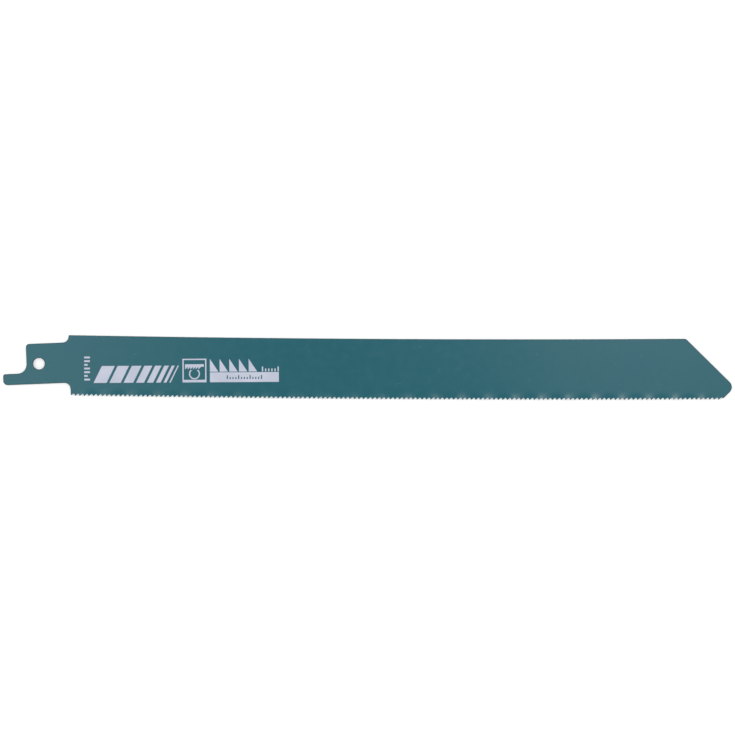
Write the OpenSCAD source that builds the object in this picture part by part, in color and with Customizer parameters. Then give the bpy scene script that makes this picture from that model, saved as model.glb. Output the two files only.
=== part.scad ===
// Reciprocating saw blade for metal: a painted steel strip with fine wavy-set teeth,
// a half-inch shank with a locating finger, and a pale printed marking on one face.
// The blade lies flat. The origin is the centre of the shank's pin hole, halfway
// through the steel. +X runs along the tooth line to the nose, +Y points from the
// teeth to the back, and +Z is the printed face.

/* [Strip] */
// Overall length, from the end of the finger to the nose
blade_len = 228.6; // [150:0.1:305]
// Width of the strip, from the back to the tooth tips
blade_w = 19; // [18:0.5:25]
// Thickness of the steel
thick = 0.9; // [0.7:0.05:1.6]
// How far the middle of the strip bows edgewise, towards the teeth
edge_bow = 0.6; // [0:0.05:1.5]

/* [Shank] */
// Width of the shank
shank_w = 12.7; // [11:0.1:14]
// Length from the shoulder to the end of the finger
shank_len = 21; // [19:0.5:30]
// Height of the shank's axis above the strip's middle line
shank_offset = 0.47; // [0:0.01:1]
// Angle of the shank to the tooth line
shank_cant = 2.6; // [0:0.1:5]
// Length of the finger, from the shank's end
finger_len = 7.5; // [5:0.1:9]
// Height of the finger
finger_h = 3.5; // [2.5:0.1:5]
// Diameter of the pin hole
hole_d = 3.6; // [3:0.1:5]
// Distance from the shank's end to the hole's centre
hole_setback = 3.9; // [3:0.1:6]

/* [Corners] */
// Fillets between the shank and the shoulders
shoulder_r = 1.9; // [0.5:0.1:2.5]
// Fillet between the finger and the shank's end
notch_r = 2.9; // [1:0.1:4]
// Upper corner of the shank's end
shank_corner_r = 1; // [0.3:0.1:2]
// Upper corner of the finger's end
finger_upper_r = 0.7; // [0.2:0.1:1.2]
// Lower corner of the finger's end
finger_lower_r = 1.4; // [0.3:0.1:1.8]
// Corner between the upper shoulder and the back
back_heel_r = 0.3; // [0.1:0.1:0.6]
// Corner between the back and the nose's slope
back_nose_r = 0.8; // [0.2:0.1:3]

/* [Nose] */
// Slope of the nose, from the back down to the tip
nose_angle = 44.2; // [30:0.1:60]
// Slope of the chamfer from the last tooth up to the tip
chamfer_angle = 45; // [35:1:55]
// Height above the tooth tips at which the chamfer starts
chamfer_start = 0.3; // [0:0.05:0.5]
// Radius of the tip
nose_tip_r = 2.25; // [1:0.05:3]
// Least length of strip past the last tooth
nose_room = 2.6; // [2.5:0.1:6]

/* [Teeth] */
// Teeth to the inch
teeth_per_inch = 18; // [10:1:24]
// Depth of the gullets
tooth_depth = 0.7; // [0.4:0.05:1]
// Radius at the bottom of a gullet
gullet_r = 0.22; // [0.1:0.01:0.28]
// Lean of the cutting face, which looks towards the shank
rake_lean = 28; // [1:0.5:35]

/* [Wavy set] */
// Sideways set of the teeth, to each side of the strip
side_set = 0.25; // [0.05:0.01:0.4]
// Teeth to one wave of the set
teeth_per_wave = 6; // [4:1:12]
// Where the first wave starts, as an angle along it
set_phase = 305; // [0:5:355]
// Height of the band that is bent, above the tooth tips
set_band = 3; // [2:0.1:3.5]
// Length at each end over which the set fades out
set_fade = 8; // [2:0.5:20]

/* [Print] */
// Thickness of the ink
ink_t = 0.03; // [0.02:0.01:0.1]
// Width of the finest printed line
ink_line = 0.4; // [0.2:0.05:0.6]
// Distance from the shoulder to the print
print_start = 4.7; // [2:0.1:20]
// Height of the print's foot line above the tooth tips
print_rise = 4; // [3:0.1:5]
// Tilt of the print to the tooth line
print_tilt = 0.7; // [0:0.1:1.5]
// Gap between neighbouring fields of the print
print_gap = 1.1; // [0.5:0.1:2]
// Width of the column of dashes
dashes_w = 1.8; // [1:0.1:4]
// Height of the column of dashes
dashes_h = 7.5; // [4:0.1:8]
// Height of the column's foot above the print's foot line
dashes_lift = 0.8; // [0:0.1:1]
// Width of the slanted stripes, all together
stripes_w = 26.8; // [10:0.1:40]
// Height of the slanted stripes
stripes_h = 5.3; // [3:0.1:7]
// Number of stripes
stripe_count = 8; // [4:1:12]
// Gap between two stripes
stripe_gap = 0.9; // [0.4:0.1:1.5]
// Width of the framed picture
picture_w = 7.5; // [6:0.1:9]
// Height of the framed picture
picture_h = 7.4; // [6:0.1:8]
// Width of the bar with the rule in it
bar_w = 21.6; // [16:0.1:40]
// Height of the bar
bar_h = 3.1; // [2:0.1:4]
// Length of the rule in the bar
rule_w = 10.7; // [6:0.1:14]
// Height of the rule in the bar
rule_h = 1.2; // [0.8:0.1:1.8]
// Width of the row of triangles over the bar
triangles_w = 15.2; // [8:0.1:20]
// Height of the triangles
triangles_h = 4; // [2:0.1:4]
// Number of triangles
triangle_count = 5; // [3:1:9]
// Width of the row of ticks beside the triangles
ticks_w = 5.3; // [3:0.1:8]
// Height of the ticks
ticks_h = 1.5; // [1:0.1:2.5]

/* [Hidden] */
inch = 25.4;
paint_teal = [0.24, 0.43, 0.45];
ink_pale = [0.82, 0.83, 0.91];
arc_step = 9; // degrees to one facet of a rounded corner
back_steps = 36; // facets along the bowed back
gullet_steps = 2; // facets round a gullet

// Shank frame: u along the shank towards the nose, v across it towards the back
shank_end_u = -hole_setback;
finger_end_u = shank_end_u - finger_len;
shoulder_u = finger_end_u + shank_len;
finger_top_v = finger_h - shank_w / 2;

// Strip frame: lines that the strip's outline follows
tip_line = -blade_w / 2 - shank_offset;
back_line = blade_w / 2 - shank_offset;
finger_end_x = (finger_end_u + finger_upper_r) * cos(shank_cant)
    - (finger_top_v - finger_upper_r) * sin(shank_cant) - finger_upper_r;
nose_x = finger_end_x + blade_len;
first_tip_x = shoulder_x(tip_line);
pitch = inch / teeth_per_inch;
tooth_count = floor((nose_x - nose_room - first_tip_x) / pitch);
last_tip_x = first_tip_x + tooth_count * pitch;
set_wave = teeth_per_wave * pitch;

// A point of the shank, turned by the cant into the strip's frame, with its corner radius
function shank_point(u, v, r) = [
    u * cos(shank_cant) - v * sin(shank_cant),
    u * sin(shank_cant) + v * cos(shank_cant),
    r
];

// Where the shoulder's line, square to the shank, crosses a height y
function shoulder_x(y) = (shoulder_u - y * sin(shank_cant)) / cos(shank_cant);

// Edgewise bow of an edge that runs between two ends: nothing there and most halfway
function bow(x, from, to) = edge_bow * (1 - pow((2 * x - from - to) / (to - from), 2));
function tip_y(x) = tip_line - bow(x, first_tip_x, last_tip_x);
function set_line_y(x) = tip_y(x) + set_band;

// Rounds the corners of a closed path of [x, y, radius]; where two roundings would
// overlap on the edge between them, both shrink to share it
function unit(a) = a / norm(a);
function xy(p) = [p.x, p.y];
function turn(a, b, c) = let (d = unit(xy(b) - xy(a)), e = unit(xy(c) - xy(b)))
    atan2(d.x * e.y - d.y * e.x, d * e);
function tangent(p, i) = let (n = len(p))
    p[i][2] == 0 ? 0 : p[i][2] * tan(abs(turn(p[(i + n - 1) % n], p[i], p[(i + 1) % n])) / 2);
function share(p, i, j) = let (room = norm(xy(p[i]) - xy(p[j])), asked = tangent(p, i) + tangent(p, j))
    asked > room ? room / asked : 1;
function rounded_corner(p, i) =
    let (
        n = len(p),
        before = p[(i + n - 1) % n],
        here = p[i],
        after = p[(i + 1) % n],
        bend = turn(before, here, after),
        fit = min(share(p, i, (i + n - 1) % n), share(p, i, (i + 1) % n)),
        r = here[2] * fit,
        way = unit(xy(here) - xy(before)),
        side = sign(bend) * [-way.y, way.x],
        centre = xy(here) - way * tangent(p, i) * fit + side * r,
        steps = max(1, ceil(abs(bend) / arc_step))
    )
    [for (k = [0 : steps]) let (a = bend * k / steps)
        centre - r * (side * cos(a) - way * sin(abs(a)))];
function rounded(p) = [for (i = [0 : len(p) - 1])
    each (p[i][2] == 0 ? [xy(p[i])] : rounded_corner(p, i))];

// One tooth from its tip to just short of the next tip, as [along, height above the tips]:
// a straight flank, then the gullet's arc up to the leaning cutting face
gullet_centre = [
    pitch - (tooth_depth - gullet_r) * tan(rake_lean) - gullet_r / cos(rake_lean),
    tooth_depth - gullet_r
];
flank_angle = atan2(gullet_centre.y, gullet_centre.x) + asin(gullet_r / norm(gullet_centre));
tooth_profile = concat([[0, 0]], [for (k = [0 : gullet_steps])
    let (a = (90 + flank_angle) * (1 - k / gullet_steps) + rake_lean * k / gullet_steps)
    gullet_centre + gullet_r * [cos(a), sin(a)]]);

// The tooth edge from the shoulder to the chamfer, which cuts the last tip off
chamfer_foot = [last_tip_x, tip_y(last_tip_x) + chamfer_start];
tooth_edge = concat(
    [for (i = [0 : tooth_count - 1], p = tooth_profile)
        let (x = first_tip_x + i * pitch + p.x) [x, tip_y(x) + p.y]],
    [chamfer_foot]
);

// Nose: the tip's circle touches the chamfer that rises from the last tooth, and the
// slope leaves the same circle up to the back
tip_centre_x = nose_x - nose_tip_r;
tip_centre_y = chamfer_foot.y + nose_tip_r * cos(chamfer_angle)
    + (tip_centre_x - chamfer_foot.x + nose_tip_r * sin(chamfer_angle)) * tan(chamfer_angle);
slope_touch = [tip_centre_x, tip_centre_y] + nose_tip_r * [sin(nose_angle), cos(nose_angle)];
back_nose_x = slope_touch.x - (back_line - slope_touch.y) / tan(nose_angle);
// Where the slope and the chamfer would meet if the tip weren't rounded
nose_run = (slope_touch.y - chamfer_foot.y + (slope_touch.x - chamfer_foot.x) * tan(nose_angle))
    / (tan(chamfer_angle) + tan(nose_angle));
nose_corner = chamfer_foot + nose_run * [1, tan(chamfer_angle)];

// The bent band's upper edge: above each point of the tooth edge, but lower at its two
// ends, on the shoulder and on the chamfer, so that those faces run through
set_edge = [for (i = [0 : len(tooth_edge) - 1])
    i == 0 ? [shoulder_x(tip_line + set_band / 2), tip_line + set_band / 2]
    : i == len(tooth_edge) - 1 ? tooth_edge[i] + [1 / tan(chamfer_angle), 1] * set_band / 2
    : [tooth_edge[i].x, set_line_y(tooth_edge[i].x)]];

// The flat part of the blade, anticlockwise from the finger's lower corner
back_heel_x = shoulder_x(back_line);
flat_path = concat(
    [
        shank_point(finger_end_u, -shank_w / 2, finger_lower_r),
        shank_point(shoulder_u, -shank_w / 2, shoulder_r)
    ],
    [for (p = set_edge) [p.x, p.y, 0]],
    [
        [nose_corner.x, nose_corner.y, nose_tip_r],
        [back_nose_x, back_line, back_nose_r]
    ],
    [for (i = [back_steps - 1 : -1 : 1])
        let (x = back_heel_x + (back_nose_x - back_heel_x) * i / back_steps)
        [x, back_line - bow(x, back_heel_x, back_nose_x), 0]],
    [
        [back_heel_x, back_line, back_heel_r],
        shank_point(shoulder_u, shank_w / 2, shoulder_r),
        shank_point(shank_end_u, shank_w / 2, shank_corner_r),
        shank_point(shank_end_u, finger_top_v, notch_r),
        shank_point(finger_end_u, finger_top_v, finger_upper_r)
    ]
);

// Sideways set of a point: a wave along the teeth, faded out at both ends, that the band
// bends into, more and more steeply from its upper edge to the tips
function ease(t) = let (c = min(1, max(0, t))) c * c * (3 - 2 * c);
function wave(x) = side_set * sin(360 * (x - first_tip_x) / set_wave + set_phase)
    * ease((x - first_tip_x) / set_fade) * ease((last_tip_x - x) / set_fade);
function sideways(x, y) = wave(x) * pow(max(0, set_line_y(x) - y) / set_band, 2);

// Rows of points down the bent band, as parts of the way from its upper edge to the teeth
set_rows = [0, 0.35, 0.65, 1];

// The bent band as one closed sweep: at each point of the tooth edge a section runs down
// the printed face, row by row, and back up the other face
module tooth_band() {
    rows = len(set_rows);
    ring = 2 * rows;
    sections = len(tooth_edge);
    points = [for (i = [0 : sections - 1], k = [0 : ring - 1])
        let (
            row = set_rows[k < rows ? k : ring - 1 - k],
            at = set_edge[i] + (tooth_edge[i] - set_edge[i]) * row,
            face = (k < rows ? 1 : -1) * thick / 2
        )
        [at.x, at.y, face + sideways(tooth_edge[i].x, at.y)]];
    walls = [for (i = [0 : sections - 2], k = [0 : ring - 1])
        let (
            a = i * ring + k,
            b = i * ring + (k + 1) % ring,
            c = a + ring,
            d = b + ring
        )
        each [[a, c, b], [b, c, d]]];
    last = (sections - 1) * ring;
    ends = [for (k = [0 : rows - 2])
        each [
            [k, k + 1, ring - 2 - k, ring - 1 - k],
            [last + k, last + ring - 1 - k, last + ring - 2 - k, last + k + 1]
        ]];
    polyhedron(points, concat(walls, ends), convexity = 4);
}

// The blade: one piece of steel, painted all over
module blade() {
    color(paint_teal) difference() {
        union() {
            translate([0, 0, -thick / 2])
                linear_extrude(thick)
                    polygon(rounded(flat_path));
            tooth_band();
        }
        cylinder(h = 3 * thick, d = hole_d, center = true, $fn = 64);
    }
}

// A column of short dashes
module dashes() {
    count = 7;
    step = dashes_h / (2 * count - 1);
    for (i = [0 : count - 1])
        translate([0, 2 * i * step])
            square([i % 3 == 1 ? dashes_w * 0.6 : dashes_w, step]);
}

// Slanted stripes, each narrower than the one before it
module stripes() {
    lean = stripes_h / 2;
    // The last stripe is a finest line wide, and the rest of the width is shared out
    spare = stripes_w - lean - (stripe_count - 1) * stripe_gap - stripe_count * ink_line;
    wider = spare / (stripe_count * (stripe_count - 1) / 2);
    for (i = [0 : stripe_count - 1]) {
        w = ink_line + (stripe_count - 1 - i) * wider;
        x = i * (ink_line + stripe_gap) + (i * (stripe_count - 1) - i * (i - 1) / 2) * wider;
        polygon([[x, 0], [x + w, 0], [x + w + lean, stripes_h], [x + lean, stripes_h]]);
    }
}

// A framed picture of a pipe, cut by a toothed strip, over a ground bar
module picture() {
    inner = picture_w - 2 * ink_line;
    pipe_d = inner * 0.52;
    pipe_at = [picture_w / 2, picture_h * 0.36];
    strip_y = picture_h * 0.66;
    tooth = inner / 8;
    difference() {
        square([picture_w, picture_h]);
        translate([ink_line, ink_line * 2])
            square([inner, picture_h - 3 * ink_line]);
    }
    difference() {
        translate(pipe_at) circle(d = pipe_d, $fn = 48);
        translate(pipe_at) circle(d = pipe_d - 2 * ink_line, $fn = 48);
        translate([ink_line, strip_y - tooth - ink_line / 2])
            square([inner, picture_h]);
    }
    polygon(concat(
        [[ink_line * 2, strip_y + 2 * ink_line], [ink_line * 2, strip_y]],
        [for (i = [0 : 5], p = [[0, -tooth], [tooth, 0]]) [ink_line * 2 + i * tooth + p.x, strip_y + p.y]],
        [[picture_w - ink_line * 2, strip_y], [picture_w - ink_line * 2, strip_y + 2 * ink_line]]
    ));
}

// A bar with a rule left bare in its middle
module ruled_bar() {
    count = 12;
    step = rule_w / count;
    difference() {
        square([bar_w, bar_h]);
        for (i = [0 : count])
            translate([(bar_w - rule_w) / 2 + i * step - step / 5, (bar_h - rule_h) / 2])
                square([step * 0.4, i % 4 == 0 ? rule_h : rule_h * 0.55]);
    }
}

// Bold triangles like saw teeth
module triangles() {
    step = triangles_w / triangle_count;
    for (i = [0 : triangle_count - 1])
        translate([i * step, 0])
            polygon([[0, 0], [step - ink_line, 0], [0, triangles_h]]);
}

// Fine ticks, the last of them full height
module ticks() {
    count = 6;
    step = (ticks_w - ink_line) / (count - 1);
    for (i = [0 : count - 1])
        translate([i * step, 0])
            square([ink_line, i % 5 == 0 ? ticks_h : ticks_h * 0.6]);
}

// The marking: pale ink on the printed face, from the shoulder towards the nose
module printed_marks() {
    stripes_x = dashes_w + print_gap;
    picture_x = stripes_x + stripes_w + print_gap;
    bar_x = picture_x + picture_w + print_gap;
    over_bar = bar_h + ink_line / 2;
    color(ink_pale)
        translate([shoulder_x(0) + print_start, tip_line + print_rise, thick / 2])
            rotate(print_tilt)
                linear_extrude(ink_t) {
                    translate([0, dashes_lift]) dashes();
                    translate([stripes_x, 0]) stripes();
                    translate([picture_x, 0]) picture();
                    translate([bar_x, 0]) ruled_bar();
                    translate([bar_x, over_bar]) triangles();
                    translate([bar_x + bar_w - ticks_w, over_bar]) ticks();
                }
}

blade();
printed_marks();
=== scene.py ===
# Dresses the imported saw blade: teal paint over steel, pale printed ink, a white table,
# soft boxes to the left and right, and a camera that looks straight down.
import math

import bpy
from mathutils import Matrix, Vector


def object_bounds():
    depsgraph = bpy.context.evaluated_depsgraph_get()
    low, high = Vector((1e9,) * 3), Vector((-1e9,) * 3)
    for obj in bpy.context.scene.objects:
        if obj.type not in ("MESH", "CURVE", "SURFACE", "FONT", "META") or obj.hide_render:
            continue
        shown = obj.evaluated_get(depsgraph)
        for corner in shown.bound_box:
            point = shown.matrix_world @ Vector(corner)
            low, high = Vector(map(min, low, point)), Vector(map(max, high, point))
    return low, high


MM = 0.001

# The photograph's framing, in the blade's frame
VIEW_CENTRE = (103.06 * MM, -0.57 * MM)  # point of the blade at the picture's centre
VIEW_WIDTH = 230.34 * MM  # width of the picture on the blade's face
VIEW_ROLL = math.radians(0.34)  # the blade lies this much out of level in the picture
LENS = 100.0  # mm, on a 36 mm sensor
TABLE_LIFT = 0.33  # brings the lit table up to white where it is seen

# The blade, where the CAD model has it
TEETH_FROM, TEETH_TO = 10.2 * MM, 214.6 * MM  # the toothed length along X
TEETH_TOP = -8.6 * MM  # the gullets lie below this Y
EDGE_BREAK = 0.26 * MM  # rounding of the strip's stamped edges, and of none of the teeth
SHARP = math.radians(38)  # an edge that turns more than this is a stamped edge

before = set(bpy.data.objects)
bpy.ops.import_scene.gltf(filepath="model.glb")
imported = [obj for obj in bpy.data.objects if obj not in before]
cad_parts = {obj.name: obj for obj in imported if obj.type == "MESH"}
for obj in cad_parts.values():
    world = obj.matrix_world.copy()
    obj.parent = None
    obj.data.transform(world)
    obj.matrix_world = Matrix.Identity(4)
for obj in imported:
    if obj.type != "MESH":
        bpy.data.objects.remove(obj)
cad_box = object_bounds()


def linear(r, g, b):
    """A colour picked on screen, 0 to 255, as the light values that shaders take."""
    def channel(c):
        c /= 255.0
        return c / 12.92 if c <= 0.04045 else ((c + 0.055) / 1.055) ** 2.4
    return (channel(r), channel(g), channel(b), 1.0)


class Nodes:
    """A short way to write a material's nodes."""

    def __init__(self, tree):
        self.tree = tree
        tree.nodes.clear()

    def add(self, kind, inputs=None, **settings):
        node = self.tree.nodes.new(kind)
        for key, value in settings.items():
            setattr(node, key, value)
        for key, value in (inputs or {}).items():
            self.set(node.inputs[key], value)
        return node

    def set(self, socket, value):
        if isinstance(value, bpy.types.NodeSocket):
            self.tree.links.new(value, socket)
        else:
            socket.default_value = value

    def math(self, operation, a, b=0.0, clamp=False):
        node = self.add("ShaderNodeMath", operation=operation, use_clamp=clamp)
        self.set(node.inputs[0], a)
        self.set(node.inputs[1], b)
        return node.outputs[0]

    def mix(self, factor, a, b):
        node = self.add("ShaderNodeMix", data_type="RGBA")
        self.set(node.inputs["Factor"], factor)
        self.set(node.inputs[6], a)
        self.set(node.inputs[7], b)
        return node.outputs[2]

    def noise(self, vector, scale, detail=2.0, roughness=0.5):
        node = self.add(
            "ShaderNodeTexNoise",
            {"Vector": vector, "Scale": scale, "Detail": detail, "Roughness": roughness},
        )
        return node.outputs["Fac"]

    def ramp(self, value, low, high, to_low=0.0, to_high=1.0):
        node = self.add(
            "ShaderNodeMapRange",
            {"Value": value, "From Min": low, "From Max": high, "To Min": to_low, "To Max": to_high},
            interpolation_type="SMOOTHSTEP",
        )
        return node.outputs["Result"]


def new_material(name):
    material = bpy.data.materials.new(name)
    material.use_nodes = True
    return material, Nodes(material.node_tree)


def paint():
    """Smooth teal paint, greyer and darker where it wraps round the cut edges and tilts away from
    straight up: partly the thinner paint there, partly painted shade.
    """
    material, n = new_material("teal_paint")
    coords = n.add("ShaderNodeTexCoord")
    place, normal = coords.outputs["Object"], coords.outputs["Normal"]
    stretched = n.add("ShaderNodeMapping", {"Vector": place, "Scale": (0.12, 1.0, 1.0)}).outputs[0]

    drift = n.noise(place, 34.0, 3.0)
    mottle = n.noise(place, 420.0, 4.0, 0.6)
    grain = n.noise(stretched, 2600.0, 3.0, 0.6)
    peel = n.noise(place, 1500.0, 2.0)

    colour = n.mix(n.ramp(drift, 0.32, 0.68), linear(24, 97, 110), linear(28, 98, 110))
    colour = n.mix(n.ramp(mottle, 0.35, 0.75, 0.0, 0.35), colour, linear(36, 103, 116))
    # Painted shade at the cut edges: the further the surface tilts from straight up, the more the colour
    # turns to a darker grey-teal. This is partly thin paint and partly shade painted into the colour.
    facing = n.math("ABSOLUTE", n.add("ShaderNodeSeparateXYZ", {"Vector": normal}).outputs["Z"])
    cut_edge_and_painted_shade = n.ramp(facing, 0.995, 0.85)
    colour = n.mix(cut_edge_and_painted_shade, colour, linear(52, 84, 88))

    height = n.math("ADD", n.math("MULTIPLY", grain, 0.35), peel)
    bump = n.add(
        "ShaderNodeBump", {"Height": height, "Strength": 0.10, "Distance": 0.02 * MM}
    ).outputs[0]
    shader = n.add(
        "ShaderNodeBsdfPrincipled",
        {
            "Base Color": colour,
            "Roughness": n.ramp(mottle, 0.3, 0.8, 0.23, 0.28),
            "Normal": bump,
            "Specular IOR Level": 0.4,
        },
    )
    n.add("ShaderNodeOutputMaterial", {"Surface": shader.outputs[0]})
    return material


def ink():
    """Screen-printed ink: matt, almost opaque, a little uneven."""
    material, n = new_material("pale_ink")
    place = n.add("ShaderNodeTexCoord").outputs["Object"]
    cover = n.noise(place, 900.0, 3.0, 0.65)
    cloud = n.noise(place, 160.0, 2.0)
    colour = n.mix(n.ramp(cloud, 0.3, 0.7), linear(198, 204, 221), linear(208, 212, 229))
    colour = n.mix(n.ramp(cover, 0.62, 0.8, 0.0, 0.35), colour, linear(140, 162, 178))
    bump = n.add(
        "ShaderNodeBump", {"Height": cover, "Strength": 0.15, "Distance": 0.02 * MM}
    ).outputs[0]
    shader = n.add(
        "ShaderNodeBsdfPrincipled",
        {
            "Base Color": colour,
            "Roughness": n.ramp(cover, 0.3, 0.8, 0.5, 0.62),
            "Normal": bump,
            "Specular IOR Level": 0.3,
        },
    )
    n.add("ShaderNodeOutputMaterial", {"Surface": shader.outputs[0]})
    return material


def skin_nodes():
    """A modifier's node group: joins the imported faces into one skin, shades it smooth
    but for the sharp edges, and marks the stamped edges for rounding."""
    group = bpy.data.node_groups.new("skin", "GeometryNodeTree")
    group.interface.new_socket("Geometry", in_out="INPUT", socket_type="NodeSocketGeometry")
    group.interface.new_socket("Geometry", in_out="OUTPUT", socket_type="NodeSocketGeometry")
    n = Nodes(group)
    start = n.add("NodeGroupInput")
    bare = n.add(
        "GeometryNodeRemoveAttribute",
        {"Geometry": start.outputs[0], "Name": "custom_normal"},
    )
    merged = n.add(
        "GeometryNodeMergeByDistance", {"Geometry": bare.outputs[0], "Distance": 0.002 * MM}
    )
    faces = n.add(
        "GeometryNodeSetShadeSmooth",
        {"Geometry": merged.outputs[0], "Shade Smooth": True},
        domain="FACE",
    )
    bend = n.add("GeometryNodeInputMeshEdgeAngle").outputs["Unsigned Angle"]
    edges = n.add(
        "GeometryNodeSetShadeSmooth",
        {
            "Geometry": faces.outputs[0],
            "Selection": n.math("GREATER_THAN", bend, math.radians(30)),
            "Shade Smooth": False,
        },
        domain="EDGE",
    )
    place = n.add("ShaderNodeSeparateXYZ", {"Vector": n.add("GeometryNodeInputPosition").outputs[0]})
    x, y = place.outputs["X"], place.outputs["Y"]
    toothed = n.math(
        "MULTIPLY",
        n.math("MULTIPLY", n.math("GREATER_THAN", x, TEETH_FROM), n.math("LESS_THAN", x, TEETH_TO)),
        n.math("LESS_THAN", y, TEETH_TOP),
    )
    stamped = n.math("SUBTRACT", n.math("GREATER_THAN", bend, SHARP), toothed, clamp=True)
    marked = n.add(
        "GeometryNodeStoreNamedAttribute",
        {"Geometry": edges.outputs[0], "Name": "bevel_weight_edge", "Value": stamped},
        data_type="FLOAT",
        domain="EDGE",
    )
    n.add("NodeGroupOutput", {0: marked.outputs[0]})
    return group


def dress_blade(blade):
    blade.data.materials.clear()
    blade.data.materials.append(paint())
    skin = blade.modifiers.new("skin", "NODES")
    skin.node_group = skin_nodes()
    flats = blade.modifiers.new("flats", "DECIMATE")
    flats.decimate_type = "DISSOLVE"
    flats.angle_limit = math.radians(0.05)
    edge = blade.modifiers.new("edge_break", "BEVEL")
    edge.limit_method = "WEIGHT"
    edge.width = EDGE_BREAK
    edge.segments = 3
    edge.use_clamp_overlap = False
    edge.loop_slide = False
    normals = blade.modifiers.new("flat_faces", "WEIGHTED_NORMAL")
    normals.mode = "FACE_AREA"
    normals.weight = 60
    normals.keep_sharp = True


def dress_marks(marks):
    marks.data.materials.clear()
    marks.data.materials.append(ink())


def camera():
    data = bpy.data.cameras.new("camera")
    data.lens = LENS
    data.sensor_width = 36.0
    data.clip_start, data.clip_end = 0.01, 100.0
    cam = bpy.data.objects.new("camera", data)
    bpy.context.collection.objects.link(cam)
    face = cad_box[1].z
    away = VIEW_WIDTH * LENS / data.sensor_width
    cam.location = (VIEW_CENTRE[0], VIEW_CENTRE[1], face + away)
    cam.rotation_euler = (0.0, 0.0, VIEW_ROLL)
    bpy.context.scene.camera = cam


def soft_box(name, place, size, power, level=True):
    """An area lamp that hangs level, or else faces the middle of the blade."""
    data = bpy.data.lights.new(name, "AREA")
    data.shape = "RECTANGLE"
    data.size, data.size_y = size
    data.energy = power
    lamp = bpy.data.objects.new(name, data)
    bpy.context.collection.objects.link(lamp)
    lamp.location = place
    if not level:
        target = Vector((VIEW_CENTRE[0], VIEW_CENTRE[1], 0.0))
        lamp.rotation_euler = (target - lamp.location).to_track_quat("-Z", "Y").to_euler()


def lights():
    x = VIEW_CENTRE[0]
    soft_box("box_left", (x - 0.34, 0.05, 0.60), (0.30, 0.45), 0.69, level=False)
    soft_box("box_right", (x + 0.18, 0.06, 0.58), (0.16, 0.30), 0.18)
    # A slim lamp that only the teeth bent towards it throw back to the camera
    soft_box("strip", (x + 0.145, 0.14, 0.60), (0.19, 0.06), 0.36)
    # A pale room: white all round at the level of the table, darker towards the ceiling
    world = bpy.data.worlds.new("studio")
    bpy.context.scene.world = world
    world.use_nodes = True
    n = Nodes(world.node_tree)
    way = n.add("ShaderNodeTexCoord").outputs["Generated"]
    up = n.add("ShaderNodeSeparateXYZ", {"Vector": way}).outputs["Z"]
    back = n.add(
        "ShaderNodeBackground",
        {"Color": (1.0, 1.0, 1.0, 1.0), "Strength": n.ramp(up, 0.4, 1.0, 1.0, 0.35)},
    )
    n.add("ShaderNodeOutputWorld", {"Surface": back.outputs[0]})


def table(level):
    """A white table top that takes the blade's soft shadow."""
    mesh = bpy.data.meshes.new("table")
    r = 30.0
    mesh.from_pydata([(-r, -r, level), (r, -r, level), (r, r, level), (-r, r, level)], [], [(0, 1, 2, 3)])
    top = bpy.data.objects.new("table", mesh)
    bpy.context.collection.objects.link(top)
    material, n = new_material("white_table")
    rays = n.add("ShaderNodeLightPath").outputs
    seen = n.math("MAXIMUM", rays["Is Camera Ray"], rays["Is Glossy Ray"])
    seen = n.math("MAXIMUM", seen, rays["Is Transmission Ray"])
    matt = n.add("ShaderNodeBsdfDiffuse", {"Color": (0.97, 0.97, 0.97, 1.0)})
    lift = n.add("ShaderNodeEmission", {"Strength": n.math("MULTIPLY", seen, TABLE_LIFT)})
    both = n.add("ShaderNodeAddShader", {0: matt.outputs[0], 1: lift.outputs[0]})
    n.add("ShaderNodeOutputMaterial", {"Surface": both.outputs[0]})
    mesh.materials.append(material)


bpy.context.scene.view_settings.view_transform = "Standard"
camera()
lights()
table(cad_box[0].z)
dress_blade(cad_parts["blade"])
dress_marks(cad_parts["printed_marks"])
